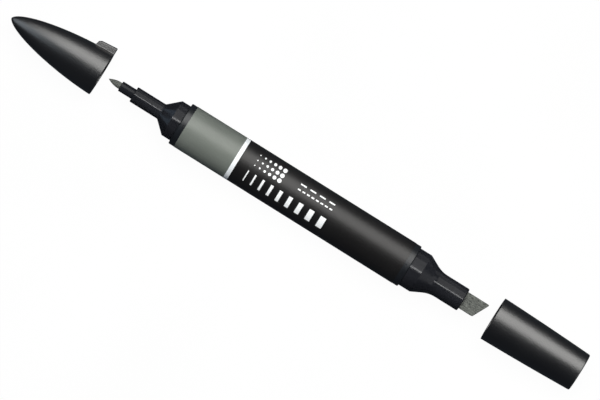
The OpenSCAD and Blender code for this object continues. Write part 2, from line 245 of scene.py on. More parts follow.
def nibFelt():
    s = feltFinish
    material, tree, shader, coords = startMaterial("bondedPolyesterFibre", s["deep"], s)
    fibres = patternOf(tree, coords, s["fibre"], 2, s["length"])  # real fibres are 0.02 mm, drawn coarser
    clumps = patternOf(tree, coords, s["clump"], 3, 1.5)
    speckle = mixPatterns(tree, clumps, fibres, s["fibreShare"])
    colourBy(tree, shader, speckle, s["deep"], s["dry"], 0.38, 0.62)
    roughenBy(tree, shader, fibres, s)
    lumps = raiseBy(tree, shader, clumps, s["clumpDepth"])
    raiseBy(tree, shader, fibres, s["fibreDepth"], lumps)
    return material


# natural polypropylene: milky, waxy and slightly see-through
linerFinish = {
    "thin": "#d5d9d6", "thick": "#c4c9c5", "cloud": 5, "cloudDepth": 0.01, "glow": 0.35, "glowDepth": 0.6,
    "roughness": 0.38, "smoother": 0.05, "rougher": 0.07, "specular": 0.5, "ior": 1.49,
}


def linerPlastic():
    s = linerFinish
    material, tree, shader, coords = startMaterial("naturalPolypropylene", s["thin"], s)
    shader.inputs["Subsurface Weight"].default_value = s["glow"]
    shader.inputs["Subsurface Radius"].default_value = (1, 1, 1)
    shader.inputs["Subsurface Scale"].default_value = s["glowDepth"] * mm
    cloud = patternOf(tree, coords, s["cloud"], 2, 2)
    colourBy(tree, shader, cloud, s["thick"], s["thin"])
    roughenBy(tree, shader, cloud, s)
    raiseBy(tree, shader, cloud, s["cloudDepth"])
    return material


# bundle of fine polyester fibres full of grey ink: soft matt streaks along the marker
coreFinish = {
    "wet": "#7d827b", "dry": "#c9cdc4", "strand": 0.3, "length": 30, "strandDepth": 0.06,
    "roughness": 0.85, "smoother": 0.1, "rougher": 0.08, "specular": 0.2,
}


def reservoirFibre():
    s = coreFinish
    material, tree, shader, coords = startMaterial("inkSoakedFibreBundle", s["wet"], s)
    strands = patternOf(tree, coords, s["strand"], 2, s["length"])
    colourBy(tree, shader, strands, s["wet"], s["dry"], 0.35, 0.7)
    roughenBy(tree, shader, strands, s)
    raiseBy(tree, shader, strands, s["strandDepth"])
    return material


# thin clear polypropylene film wound round the fibre: glassy, with faint winding wrinkles
wrapFinish = {
    "clear": "#f1f4f5", "haze": "#e2e7ea", "wrinkle": 2.5, "wrinkleDepth": 0.02, "seeThrough": 0.85,
    "roughness": 0.12, "smoother": 0.04, "rougher": 0.1, "specular": 0.5, "ior": 1.49,
}


def wrapFilm():
    s = wrapFinish
    material, tree, shader, coords = startMaterial("clearWrapFilm", s["clear"], s)
    shader.inputs["Transmission Weight"].default_value = s["seeThrough"]
    wrinkle = patternOf(tree, coords, s["wrinkle"], 3, 0.3)
    colourBy(tree, shader, wrinkle, s["haze"], s["clear"])
    roughenBy(tree, shader, wrinkle, s)
    raiseBy(tree, shader, wrinkle, s["wrinkleDepth"])
    return material


# grey polystyrene pressed into the cap's end: smooth satin with a faint moulding swirl
discFinish = {
    "dark": "#6c706b", "light": "#747873", "swirl": 2.4, "swirlDepth": 0.006,
    "roughness": 0.35, "smoother": 0.05, "rougher": 0.06, "specular": 0.5, "ior": 1.59,
}


def discPlastic():
    s = discFinish
    material, tree, shader, coords = startMaterial("inkGreyPolystyrene", s["dark"], s)
    swirl = patternOf(tree, coords, s["swirl"], 3, 1, 1.5)
    colourBy(tree, shader, swirl, s["dark"], s["light"])
    roughenBy(tree, shader, swirl, s)
    raiseBy(tree, shader, swirl, s["swirlDepth"])
    return material


# what each label colour is: darkest and lightest print, and how strongly the film shines over it
labelColours = {
    "greyPrintedFilm": ("#676c66", "#6f746e", 0.3),
    "whitePrintedFilm": ("#edf2f5", "#f4f7f9", 0.2),
    "blackPrintedFilm": ("#141313", "#191818", 0.4),
}
capBlack = capPlastic()
barrelBlack = barrelPlastic()
holderBlack = holderPlastic()
inkWhite = screenInk()
felt = nibFelt()
linerMilk = linerPlastic()
discGrey = discPlastic()
greyFilm, whiteFilm, blackFilm = [labelFilm(name, *look) for name, look in labelColours.items()]
print("materials made:", len(bpy.data.materials))


# rounds each (x, r, rounding) corner, and holds straight runs flat with a point near each end
def roundCorners(corners, closed=True, steps=6, hold=0.06):
    runs = []
    for i, (x, r, radius) in enumerate(corners):
        here = Vector((x, r))
        if radius == 0 or (not closed and i in (0, len(corners) - 1)):
            runs.append([here])
            continue
        back = (Vector(corners[i - 1][:2]) - here).normalized()
        ahead = (Vector(corners[(i + 1) % len(corners)][:2]) - here).normalized()
        half = back.angle(ahead) / 2
        centre = here + (back + ahead).normalized() * radius / math.sin(half)
        start = here + back * radius / math.tan(half) - centre
        end = here + ahead * radius / math.tan(half) - centre
        first = math.atan2(start.y, start.x)
        sweep = (math.atan2(end.y, end.x) - first + math.pi) % (2 * math.pi) - math.pi
        angles = [first + sweep * k / steps for k in range(steps + 1)]
        runs.append([centre + Vector((math.cos(a), math.sin(a))) * radius for a in angles])
    points = []
    for i, run in enumerate(runs):
        points += run
        if i + 1 < len(runs) or closed:
            gap = runs[(i + 1) % len(runs)][0] - run[-1]
            if gap.length > 4 * hold:
                step = gap.normalized() * hold
                points += [run[-1] + step, run[-1] + gap - step]
    return [(p.x, p.y) for p in points]


# node tree that turns an outline round the marker's axis and adds ribs or fins round it
def buildTurningTree():
    tree = bpy.data.node_groups.new("turnedPiece", "GeometryNodeTree")
    sockets = {}
    for name, kind in (
        ("Geometry", "Geometry"), ("Material", "Material"), ("Segments", "Int"), ("Turning radius", "Float"),
        ("Rib count", "Int"), ("Rib size", "Vector"), ("Rib centre", "Vector"),
    ):
        sockets[name] = tree.interface.new_socket(name, in_out="INPUT", socket_type="NodeSocket" + kind)
    tree.interface.new_socket("Geometry", in_out="OUTPUT", socket_type="NodeSocketGeometry")
    given = addNode(tree, "NodeGroupInput").outputs
    outline = addNode(tree, "GeometryNodeMeshToCurve", inputs={"Mesh": given["Geometry"]})
    circle = addNode(tree, "GeometryNodeCurvePrimitiveCircle", inputs={
        "Resolution": given["Segments"], "Radius": given["Turning radius"],
    })
    swept = addNode(tree, "GeometryNodeCurveToMesh", inputs={
        "Curve": circle.outputs["Curve"], "Profile Curve": outline.outputs["Curve"],
    })
    laid = addNode(tree, "GeometryNodeTransform", inputs={
        "Geometry": swept.outputs["Mesh"], "Rotation": (0, -math.pi / 2, 0),
    })
    closed = addNode(tree, "GeometryNodeMergeByDistance", inputs={
        "Geometry": laid.outputs["Geometry"], "Distance": 0.0005 * mm,
    })
    rib = addNode(tree, "GeometryNodeMeshCube", inputs={"Size": given["Rib size"]})
    ribOut = addNode(tree, "GeometryNodeTransform", inputs={
        "Geometry": rib.outputs["Mesh"], "Translation": given["Rib centre"],
    })
    spots = addNode(tree, "GeometryNodeMeshLine", inputs={"Count": given["Rib count"], "Offset": (0, 0, 0)})
    index = addNode(tree, "GeometryNodeInputIndex")
    share = addNode(tree, "ShaderNodeMath", {"operation": "DIVIDE"}, {
        0: index.outputs[0], 1: given["Rib count"],
    })
    turn = addNode(tree, "ShaderNodeMath", {"operation": "MULTIPLY"}, {0: share.outputs[0], 1: 2 * math.pi})
    angle = addNode(tree, "ShaderNodeCombineXYZ", inputs={"X": turn.outputs[0]})
    ribs = addNode(tree, "GeometryNodeInstanceOnPoints", inputs={
        "Points": spots.outputs["Mesh"], "Instance": ribOut.outputs["Geometry"], "Rotation": angle.outputs[0],
    })
    smooth = addNode(tree, "GeometryNodeSetShadeSmooth", inputs={"Geometry": closed.outputs["Geometry"]})
    joined = addNode(tree, "GeometryNodeJoinGeometry")
    tree.links.new(ribs.outputs["Instances"], joined.inputs[0])
    tree.links.new(smooth.outputs["Geometry"], joined.inputs[0])
    real = addNode(tree, "GeometryNodeRealizeInstances", inputs={"Geometry": joined.outputs["Geometry"]})
    dressed = addNode(tree, "GeometryNodeSetMaterial", inputs={
        "Geometry": real.outputs["Geometry"], "Material": given["Material"],
    })
    addNode(tree, "NodeGroupOutput", inputs={"Geometry": dressed.outputs["Geometry"]})
    return tree, {name: socket.identifier for name, socket in sockets.items()}


turningTree, turningInputs = buildTurningTree()


# runs a node tree on a mesh, keeps the result as a plain mesh, and turns its faces outwards
def applyTree(name, mesh, tree, identifiers, values):
    piece = bpy.data.objects.new(name, mesh)
    bpy.context.scene.collection.objects.link(piece)
    modifier = piece.modifiers.new(name, "NODES")
    modifier.node_group = tree
    for label, value in values.items():
        modifier[identifiers[label]] = value
    graph = bpy.context.evaluated_depsgraph_get()
    result = bpy.data.meshes.new_from_object(piece.evaluated_get(graph))
    piece.modifiers.clear()
    piece.data = result
    faceOutwards(result)
    return piece


def faceOutwards(mesh, sharp=35):
    work = bmesh.new()
    work.from_mesh(mesh)
    bmesh.ops.recalc_face_normals(work, faces=work.faces)
    work.to_mesh(mesh)
    work.free()
    mesh.shade_smooth()
    mesh.set_sharp_from_angle(angle=math.radians(sharp))


# turns an outline of (depth, radius) points round the axis, outwards from x = face
def turnPiece(name, outline, face, side, material, closed=True, segments=128, ribs=None):
    turningRadius = 20
    mesh = bpy.data.meshes.new(name + "Outline")
    points = [((r - turningRadius) * mm, (face + side * x) * mm, 0) for x, r in outline]
    edges = [(i, i + 1) for i in range(len(points) - 1)]
    if closed:
        edges.append((len(points) - 1, 0))
    mesh.from_pydata(points, edges, [])
    ribs = ribs or {"count": 0, "from": 0, "to": 1, "inner": 0, "outer": 1, "thickness": 1}
    ends = [face + side * ribs["from"], face + side * ribs["to"]]
    size = (abs(ends[1] - ends[0]), ribs["outer"] - ribs["inner"], ribs["thickness"])
    centre = (sum(ends) / 2, (ribs["outer"] + ribs["inner"]) / 2, 0)
    return applyTree(name, mesh, turningTree, turningInputs, {
        "Material": material, "Segments": segments, "Turning radius": turningRadius * mm,
        "Rib count": ribs["count"], "Rib size": [v * mm for v in size],
        "Rib centre": [v * mm for v in centre],
    })


# skin through rings of equal count, in metres; both ends close on a middle point, or the rings form a loop
def loftPiece(name, rings, material, loop=False, sharp=35):
    count = len(rings[0])
    points = [p for ring in rings for p in ring]
    faces = []
    for k in range(len(rings) if loop else len(rings) - 1):
        a = k * count
        b = (k + 1) % len(rings) * count
        faces += [(a + i, a + (i + 1) % count, b + (i + 1) % count, b + i) for i in range(count)]
    if not loop:
        for ring, start in ((rings[0], 0), (rings[-1], (len(rings) - 1) * count)):
            points.append(sum((Vector(p) for p in ring), Vector()) / count)
            faces += [(start + i, start + (i + 1) % count, len(points) - 1) for i in range(count)]
    mesh = bpy.data.meshes.new(name)
    mesh.from_pydata(points, [], faces)
    mesh.materials.append(material)
    faceOutwards(mesh, sharp)
    piece = bpy.data.objects.new(name, mesh)
    bpy.context.scene.collection.objects.link(piece)
    return piece


# how far a rounded rectangle reaches from its middle in the direction of an angle
def slotReach(angle, halfWidth, halfHeight, rounding):
    y, z = abs(math.cos(angle)), abs(math.sin(angle))
    flat = min(halfWidth / max(y, 1e-9), halfHeight / max(z, 1e-9))
    cy, cz = halfWidth - rounding, halfHeight - rounding
    if flat * y <= cy or flat * z <= cz:
        return flat
    along = y * cy + z * cz
    return along + math.sqrt(max(along * along - cy * cy - cz * cz + rounding * rounding, 0))


# gives a finished piece its body and hides the CAD nodes that it stands for
def place(piece, body, finish, *nodes):
    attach(piece, body)
    if nodes:
        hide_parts(*nodes)


barrelLow, barrelHigh = boxMm("barrel")
barrelEnd = barrelHigh.x
barrelRadius = barrelHigh.y
barrel = {"bore": 6.05, "edge": 0.3, "ribs": 6, "ribHeight": 0.8, "ribThickness": 0.8, "ribReach": 35.7}


def makeBarrel():
    length = 2 * barrelEnd
    outline = roundCorners([
        (0, barrel["bore"], 0.1), (0, barrelRadius, barrel["edge"]),
        (length, barrelRadius, barrel["edge"]), (length, barrel["bore"], 0.1),
    ])
    ribs = {
        "count": barrel["ribs"], "thickness": barrel["ribThickness"],
        "from": barrelEnd - barrel["ribReach"], "to": barrelEnd + barrel["ribReach"],
        "inner": barrel["bore"] - barrel["ribHeight"], "outer": barrel["bore"] + barrel["ribHeight"] / 2,
    }
    piece = turnPiece("barrelTube", outline, -barrelEnd, 1, barrelBlack, ribs=ribs)
    place(piece, "marker", "barrel_black", "barrel")


label = {"edge": 0.03}


# one stretch of the printed film; only the film's own ends are rounded
def makeBand(name, node, material, finish, leftEdge, rightEdge):
    low, high = boxMm(node)
    length = high.x - low.x
    outline = roundCorners([
        (0, barrelRadius, 0), (0, high.y, leftEdge), (length, high.y, rightEdge), (length, barrelRadius, 0),
    ], steps=3)
    piece = turnPiece(name, outline, low.x, 1, material)
    place(piece, "marker", finish, node)


# white sample marks on the black field: strokes that widen, dots that grow, long and short dashes
marks = {
    "inset": 4.2, "rowOffset": 3, "strokes": 9, "thinnest": 0.35, "thickest": 2, "strokeHeight": 3.6,
    "rowLength": 28.7, "dotColumns": 6, "dotPitch": 1.8, "smallDot": 0.4, "largeDot": 1.4,
    "dashRow": 12.5, "dashWidth": 0.45, "dashes": (4, 8), "dashShare": 0.6,
    "sink": 0.01, "thickness": 0.04,
}


def buildMarksTree():
    tree = bpy.data.node_groups.new("printedMarks", "GeometryNodeTree")
    sockets = {}
    for name, kind in (
        ("Geometry", "Geometry"), ("Material", "Material"), ("Surface radius", "Float"),
        ("Ink thickness", "Float"),
        ("Start", "Float"), ("Row offset", "Float"), ("Stroke count", "Int"), ("Stroke pitch", "Float"),
        ("Thinnest stroke", "Float"), ("Stroke growth", "Float"), ("Stroke height", "Float"),
        ("Dot columns", "Int"), ("Dot pitch", "Float"), ("Smallest dot", "Float"), ("Dot growth", "Float"),
        ("Dash start", "Float"), ("Long dashes", "Int"), ("Short dashes", "Int"), ("Long pitch", "Float"),
        ("Short pitch", "Float"), ("Dash share", "Float"), ("Dash width", "Float"),
    ):
        sockets[name] = tree.interface.new_socket(name, in_out="INPUT", socket_type="NodeSocket" + kind)
    tree.interface.new_socket("Geometry", in_out="OUTPUT", socket_type="NodeSocketGeometry")
    given = addNode(tree, "NodeGroupInput").outputs
    index = addNode(tree, "GeometryNodeInputIndex").outputs[0]

    def reckon(operation, a, b, c=0.0):
        return addNode(tree, "ShaderNodeMath", {"operation": operation}, {0: a, 1: b, 2: c}).outputs[0]

    def vector(x, y, z=0.0):
        return addNode(tree, "ShaderNodeCombineXYZ", inputs={"X": x, "Y": y, "Z": z}).outputs[0]

    def spread(count, shape, x, y, sizeX, sizeY):
        spots = addNode(tree, "GeometryNodeMeshLine", inputs={"Count": count, "Offset": (0, 0, 0)})
        moved = addNode(tree, "GeometryNodeSetPosition", inputs={
            "Geometry": spots.outputs["Mesh"], "Position": vector(x, y),
        })
        return addNode(tree, "GeometryNodeInstanceOnPoints", inputs={
            "Points": moved.outputs["Geometry"], "Instance": shape, "Scale": vector(sizeX, sizeY, 1.0),
        }).outputs["Instances"]

    square = addNode(tree, "GeometryNodeMeshGrid", inputs={
        "Size X": 1.0, "Size Y": 1.0, "Vertices X": 4, "Vertices Y": 13,
    }).outputs["Mesh"]
    disc = addNode(tree, "GeometryNodeMeshCircle", {"fill_type": "TRIANGLE_FAN"}, {
        "Vertices": 28, "Radius": 0.5,
    }).outputs["Mesh"]

    growth = reckon("MULTIPLY", index, given["Stroke growth"])
    width = reckon("ADD", given["Thinnest stroke"], growth)
    firstX = reckon("MULTIPLY_ADD", given["Thinnest stroke"], 0.5, given["Start"])
    evenX = reckon("MULTIPLY_ADD", index, given["Stroke pitch"], firstX)
    strokeX = reckon("MULTIPLY_ADD", reckon("MULTIPLY", index, growth), 0.5, evenX)
    lower = reckon("MULTIPLY", given["Row offset"], -1.0)
    strokes = spread(given["Stroke count"], square, strokeX, lower, width, given["Stroke height"])

    column = reckon("FLOOR", reckon("DIVIDE", index, 3.0), 0.0)
    row = reckon("SUBTRACT", reckon("SUBTRACT", index, reckon("MULTIPLY", column, 3.0)), 1.0)
    dotX = reckon("MULTIPLY_ADD", reckon("ADD", column, 0.5), given["Dot pitch"], given["Start"])
    dotY = reckon("MULTIPLY_ADD", row, given["Dot pitch"], given["Row offset"])
    dotSize = reckon("MULTIPLY_ADD", column, given["Dot growth"], given["Smallest dot"])
    dots = spread(reckon("MULTIPLY", given["Dot columns"], 3.0), disc, dotX, dotY, dotSize, dotSize)

    joined = addNode(tree, "GeometryNodeJoinGeometry")
    for instances in (strokes, dots):
        tree.links.new(instances, joined.inputs[0])
    for kind, side in (("Long", 0.5), ("Short", -0.5)):
        dashLength = reckon("MULTIPLY", given[kind + " pitch"], given["Dash share"])
        firstDash = reckon("MULTIPLY_ADD", dashLength, 0.5, given["Dash start"])
        dashX = reckon("MULTIPLY_ADD", index, given[kind + " pitch"], firstDash)
        dashY = reckon("MULTIPLY_ADD", given["Dot pitch"], side, given["Row offset"])
        dashes = spread(given[kind + " dashes"], square, dashX, dashY, dashLength, given["Dash width"])
        tree.links.new(dashes, joined.inputs[0])
    flat = addNode(tree, "GeometryNodeRealizeInstances", inputs={"Geometry": joined.outputs[0]}).outputs[0]
    under = addNode(tree, "GeometryNodeFlipFaces", inputs={"Mesh": flat}).outputs["Mesh"]
    lift = vector(0.0, 0.0, given["Ink thickness"])
    raised = addNode(tree, "GeometryNodeExtrudeMesh", inputs={
        "Mesh": flat, "Individual": False, "Offset": lift, "Offset Scale": 1.0,
    }).outputs["Mesh"]
    shell = addNode(tree, "GeometryNodeJoinGeometry")
    tree.links.new(under, shell.inputs[0])
    tree.links.new(raised, shell.inputs[0])
    sealed = addNode(tree, "GeometryNodeMergeByDistance", inputs={
        "Geometry": shell.outputs[0], "Distance": 0.002 * mm,
    }).outputs[0]
    spot = addNode(tree, "ShaderNodeSeparateXYZ", inputs={
        "Vector": addNode(tree, "GeometryNodeInputPosition").outputs[0],
    }).outputs
    radius = reckon("ADD", given["Surface radius"], spot["Z"])
    rise = reckon("SUBTRACT", reckon("MULTIPLY", radius, radius), reckon("MULTIPLY", spot["Y"], spot["Y"]))
    bent = addNode(tree, "GeometryNodeSetPosition", inputs={
        "Geometry": sealed, "Position": vector(spot["X"], spot["Y"], reckon("SQRT", rise, 0.0)),
    }).outputs[0]
    dressed = addNode(tree, "GeometryNodeSetMaterial", inputs={
        "Geometry": bent, "Material": given["Material"],
    })
    addNode(tree, "NodeGroupOutput", inputs={"Geometry": dressed.outputs[0]})
    return tree, {name: socket.identifier for name, socket in sockets.items()}


def makeMarks():
    m = marks
    tree, identifiers = buildMarksTree()
    surface = boxMm("label_black_field")[1].y
    start = boxMm("label_black_field")[0].x + m["inset"]
    growth = (m["thickest"] - m["thinnest"]) / (m["strokes"] - 1)
    inked = m["strokes"] * (m["thinnest"] + m["thickest"]) / 2
    gap = (m["rowLength"] - inked) / (m["strokes"] - 1)
    pitches = [m["dashRow"] / (count - 1 + m["dashShare"]) for count in m["dashes"]]
    piece = applyTree("labelMarks", bpy.data.meshes.new("labelMarksStart"), tree, identifiers, {
        "Material": inkWhite, "Surface radius": (surface - m["sink"]) * mm,
        "Ink thickness": m["thickness"] * mm,
        "Start": start * mm, "Row offset": m["rowOffset"] * mm, "Stroke count": m["strokes"],
        "Stroke pitch": (m["thinnest"] + gap) * mm, "Thinnest stroke": m["thinnest"] * mm,
        "Stroke growth": growth * mm, "Stroke height": m["strokeHeight"] * mm,
        "Dot columns": m["dotColumns"], "Dot pitch": m["dotPitch"] * mm, "Smallest dot": m["smallDot"] * mm,
        "Dot growth": (m["largeDot"] - m["smallDot"]) / (m["dotColumns"] - 1) * mm,
        "Dash start": (start + m["rowLength"] - m["dashRow"]) * mm, "Long dashes": m["dashes"][0],
        "Short dashes": m["dashes"][1], "Long pitch": pitches[0] * mm, "Short pitch": pitches[1] * mm,
        "Dash share": m["dashShare"], "Dash width": m["dashWidth"] * mm,
    })
    place(piece, "marker", "white_print", "label_print")


makeBarrel()
makeBand("labelGreyBand", "label_colour_band", greyFilm, "ink_colour", label["edge"], 0)
makeBand("labelWhiteStripe", "label_white_stripe", whiteFilm, "white_print", 0, 0)
makeBand("labelBlackField", "label_black_field", blackFilm, "label_black", 0, label["edge"])
makeMarks()
print("barrel and label made")


# depths are counted from the barrel's end face
fineHolder = {
    "plugDepth": 6, "plug": 6.05, "hollow": 4.95, "flange": 6.25, "flangeLength": 3.1, "flangeEdge": 0.3,
    "coneEnd": 7, "tube": 2.65, "tubeEnd": 17.2, "tubeEdge": 0.25,
    "seat": 1.7, "seatDepth": 4, "nibBore": 1.25,
}


def makeFineHolder():
    h = fineHolder
    seatStart = h["tubeEnd"] - h["seatDepth"]
    outline = roundCorners([
        (-h["plugDepth"], h["hollow"], 0.1), (-h["plugDepth"], h["plug"], 0.3),
        (0, h["plug"], 0), (0, h["flange"], 0.05), (h["flangeLength"], h["flange"], h["flangeEdge"]),
        (h["coneEnd"], h["tube"], 0.7), (h["tubeEnd"], h["tube"], h["tubeEdge"]),
        (h["tubeEnd"], h["seat"], 0.08), (seatStart, h["seat"], 0), (seatStart, h["nibBore"], 0),
        (0, h["nibBore"], 0), (0, h["hollow"], 0.2),
    ])
    piece = turnPiece("fineHolder", outline, -barrelEnd, -1, holderBlack)
    place(piece, "marker", "holder_black", "fine_holder")


sleeve = {"bore": 1.1, "radius": 1.7, "edge": 0.18, "out": 4.85}


def makeSleeve():
    start = fineHolder["tubeEnd"] - fineHolder["seatDepth"]
    end = fineHolder["tubeEnd"] + sleeve["out"]
    outline = roundCorners([
        (start, sleeve["bore"], 0), (start, sleeve["radius"], 0.1),
        (end, sleeve["radius"], sleeve["edge"]), (end, sleeve["bore"], 0.08),
    ])
    piece = turnPiece("fineNibSleeve", outline, -barrelEnd, -1, holderBlack, segments=96)
    place(piece, "marker", "holder_black", "fine_nib_sleeve")


fineNib = {"radius": 1.1, "pointLength": 3.9, "tail": 9.5, "tailEdge": 0.1, "steps": 30}


def makeFineNib():
    n = fineNib
    reach = -barrelEnd - boxMm("fine_nib")[0].x
    point = reach - n["pointLength"]
    tail, edge = -n["tail"], n["tailEdge"]
    outline = [(tail, 0), (tail, n["radius"] - edge), (tail + edge, n["radius"])]
    for k in range(n["steps"]):
        t = k / n["steps"]
        outline.append((point + n["pointLength"] * t, n["radius"] * (1 - t * t)))
    outline.append((reach, 0))
    piece = turnPiece("fineNib", outline, -barrelEnd, -1, felt, closed=False, segments=64)
    place(piece, "marker", "nib_fibre", "fine_nib")


makeFineHolder()
makeSleeve()
makeFineNib()
print("fine end made")


broadHolder = {
    "plugDepth": 6, "plug": 6.05, "hollow": 4.95, "flange": 6.65, "flangeLength": 4.1, "flangeEdge": 0.3,
    "coneEnd": 9.52, "coneBlend": 9, "tube": 3.905, "tubeEnd": 19.8, "tubeEdge": 0.45, "rim": 3.42,
    "slotEase": 0.1, "points": 144,
}
chisel = {
    "width": 5.9, "thickness": 3.4, "out": 7.9, "slant": 26.5, "edge": 0.3, "longCorner": 0.25,
    "shortCorner": 0.5, "tail": 9.5, "tailEdge": 0.1, "points": 176, "spacing": 0.12,
    "edgeSteps": 4, "faceSteps": 15, "faceStep": 0.06, "fuzz": 0.035, "fuzzLength": 1.6, "fuzzWidth": 0.35,
}


# ring round the axis at a depth from the broad end, through the reach that each angle gives
def ringAt(depth, reachOf, count):
    ring = []
    for i in range(count):
        angle = 2 * math.pi * (i + 0.5) / count
        reach = reachOf(angle)
        ring.append(((barrelEnd + depth) * mm, reach * math.cos(angle) * mm, reach * math.sin(angle) * mm))
    return ring


def makeBroadHolder():
    h = broadHolder
    outline = roundCorners([
        (0, h["hollow"], 0), (-h["plugDepth"], h["hollow"], 0.1), (-h["plugDepth"], h["plug"], 0.3),
        (0, h["plug"], 0), (0, h["flange"], 0.05), (h["flangeLength"], h["flange"], h["flangeEdge"]),
        (h["coneEnd"], h["tube"], h["coneBlend"]), (h["tubeEnd"], h["tube"], h["tubeEdge"]),
        (h["tubeEnd"], h["rim"], 0),
    ], closed=False)
    rings = [ringAt(x, lambda angle, r=r: r, h["points"]) for x, r in outline]

    def slotOf(growth):
        return lambda angle: slotReach(
            angle, chisel["width"] / 2 + growth, chisel["thickness"] / 2 + growth, chisel["edge"] + growth)

    ease = h["slotEase"]
    for back, growth in ((0, ease), (0.3 * ease, 0.3 * ease), (ease, 0), (h["tubeEnd"], 0)):
        rings.append(ringAt(h["tubeEnd"] - back, slotOf(growth), h["points"]))
    piece = loftPiece("broadHolder", rings, holderBlack, loop=True)
    place(piece, "marker", "holder_black", "broad_holder")


# depth of the writing end at each distance y from the axis, from the nib's outline seen from above
def writingEnd():
    c = chisel
    half = c["width"] / 2
    reach = broadHolder["tubeEnd"] + c["out"]
    short = reach - c["width"] * math.tan(math.radians(c["slant"]))
    corners = [(short - 3, -half, 0), (short, -half, c["shortCorner"]),
               (reach, half, c["longCorner"]), (short - 3, half, 0)]
    points = roundCorners(corners, closed=False, steps=10)
    edge = [p for p in points if p[0] > short - 2.5]
    edge.sort(key=lambda p: p[1])

    def depthAt(y):
        for (xa, ya), (xb, yb) in zip(edge, edge[1:]):
            if ya <= y <= yb and yb - ya > 1e-6:
                return xa + (xb - xa) * (y - ya) / (yb - ya)
        return edge[0][0] if y < 0 else edge[-1][0]
    return depthAt


def makeChiselNib():
    c = chisel
    depthAt = writingEnd()
    base = broadHolder["tubeEnd"]
    halfWidth, halfHeight = c["width"] / 2, c["thickness"] / 2

    def ring(inset, scale, depthOf):
        points = []
        for i in range(c["points"]):
            angle = 2 * math.pi * (i + 0.5) / c["points"]
            rounding = max(c["edge"] - inset, 0.02)
            reach = scale * slotReach(angle, halfWidth - inset, halfHeight - inset, rounding)
            y, z = reach * math.cos(angle), reach * math.sin(angle)
            points.append(Vector((barrelEnd + depthOf(y), y, z)))
        return points

    edge = c["tailEdge"]
    rings = [ring(edge, 1, lambda y: -c["tail"]), ring(0, 1, lambda y: edge - c["tail"])]
    rings.append(ring(0, 1, lambda y: base))
    steps = round(c["out"] / c["spacing"])
    for k in range(1, steps):
        share = k / steps
        rings.append(ring(0, 1, lambda y: base + share * (depthAt(y) - c["edge"] - base)))
    for k in range(c["edgeSteps"] + 1):
        turn = math.pi / 2 * k / c["edgeSteps"]
        inset = c["edge"] * (1 - math.cos(turn))
        rings.append(ring(inset, 1, lambda y: depthAt(y) - c["edge"] * (1 - math.sin(turn))))
    for k in range(1, c["faceSteps"] + 1):
        rings.append(ring(c["edge"], 1 - c["faceStep"] * k, depthAt))
    # fibres leave a slightly uneven skin on the part of the nib that shows
    for points in rings[3:]:
        for p in points:
            grain = noise.noise(Vector((p.x / c["fuzzLength"], p.y / c["fuzzWidth"], p.z / c["fuzzWidth"])))
            away = Vector((0.3, p.y, p.z)).normalized()
            p += away * (grain - 0.6) * c["fuzz"]
    rings = [[p * mm for p in points] for points in rings]
    piece = loftPiece("chiselNib", rings, felt, sharp=60)
    place(piece, "marker", "nib_fibre", "chisel_nib")


makeBroadHolder()
makeChiselNib()
print("broad end made")


# depths are counted from a cap's mouth towards its closed end
fineCap = {
    "swell": 1.69, "bluntness": 1.66, "mouthEdge": 0.2, "mouthBore": 6.33, "mouthDepth": 3.9, "wall": 1.03,
    "socketDepth": 22.625, "tipSocket": 2.5, "linerEnd": 28.05, "points": 120,
}
lug = {
    "length": 6.6, "halfWidth": 1.8, "height": 2.05, "frontHeight": 1.55, "slope": 1.2,
    "foot": 0.35, "crown": 0.4, "steps": 6, "topRound": 0.7, "bend": (0.72, 0.66), "bendRound": 0.35,
}
fineMouth = boxMm("fine_cap")[1].x
fineLength = fineMouth - boxMm("fine_cap")[0].x
capMouth = boxMm("fine_cap")[1].z


def fineSkin(depth):
    t = 1 - depth / fineLength
    return capMouth * (1 - (1 - t) ** fineCap["swell"]) ** (1 / fineCap["bluntness"])


# top of the lug along the cap, as height above the cap's skin
def lugRise(depth):
    top = lug["length"] - lug["slope"]
    along, up = lug["bend"]  # where the sloping front turns steeper
    corners = [
        (0, capMouth + lug["height"], 0), (top, capMouth + lug["frontHeight"], lug["topRound"]),
        (top + lug["slope"] * along, capMouth + lug["frontHeight"] * up, lug["bendRound"]),
        (lug["length"], fineSkin(lug["length"]), 0),
    ]
    edge = roundCorners(corners, closed=False, steps=8)
    for (xa, ya), (xb, yb) in zip(edge, edge[1:]):
        if xa <= depth <= xb:
            return max(ya + (yb - ya) * (depth - xa) / max(xb - xa, 1e-9) - fineSkin(depth), 0)
    return 0


# (y, z) outline of the fine cap across its length: a circle with the lug standing on its +Y side
def capSection(skin, rise, inset):
    skin = skin - inset
    if rise == 0:
        return [(skin * math.cos(a), skin * math.sin(a)) for a in plainAngles]
    half = lug["halfWidth"] - inset
    foot = min(lug["foot"], rise * 0.4)
    crown = min(lug["crown"], rise * 0.5)
    steps = lug["steps"]
    side = []
    tilt = math.asin((half - crown) / skin)
    crestZ = half - crown * (1 - math.sin(tilt))
    crestY = math.sqrt(skin ** 2 - crestZ ** 2) + rise
    for k in range(steps):
        z = crestZ * (k + 0.5) / steps
        side.append((math.sqrt(skin ** 2 - z ** 2) + rise, z))
    middle = (crestY - crown * math.cos(tilt), half - crown)
    for k in range(steps + 1):
        angle = tilt + (math.pi / 2 - tilt) * k / steps
        side.append((middle[0] + crown * math.cos(angle), middle[1] + crown * math.sin(angle)))
    footZ = half + foot
    footY = math.sqrt((skin + foot) ** 2 - footZ ** 2)
    reach = math.atan2(footZ, footY)
    for k in range(steps + 1):
        angle = -math.pi / 2 - (math.pi / 2 - reach) * k / steps
        side.append((footY + foot * math.cos(angle), footZ + foot * math.sin(angle)))
    steps = fineCap["points"] // 2
    arc = [reach + (math.pi - reach) * (k + 1) / steps for k in range(steps)]
    side += [(skin * math.cos(a), skin * math.sin(a)) for a in arc[:-1]]
    return side + [(-skin, 0)] + [(y, -z) for y, z in reversed(side)]


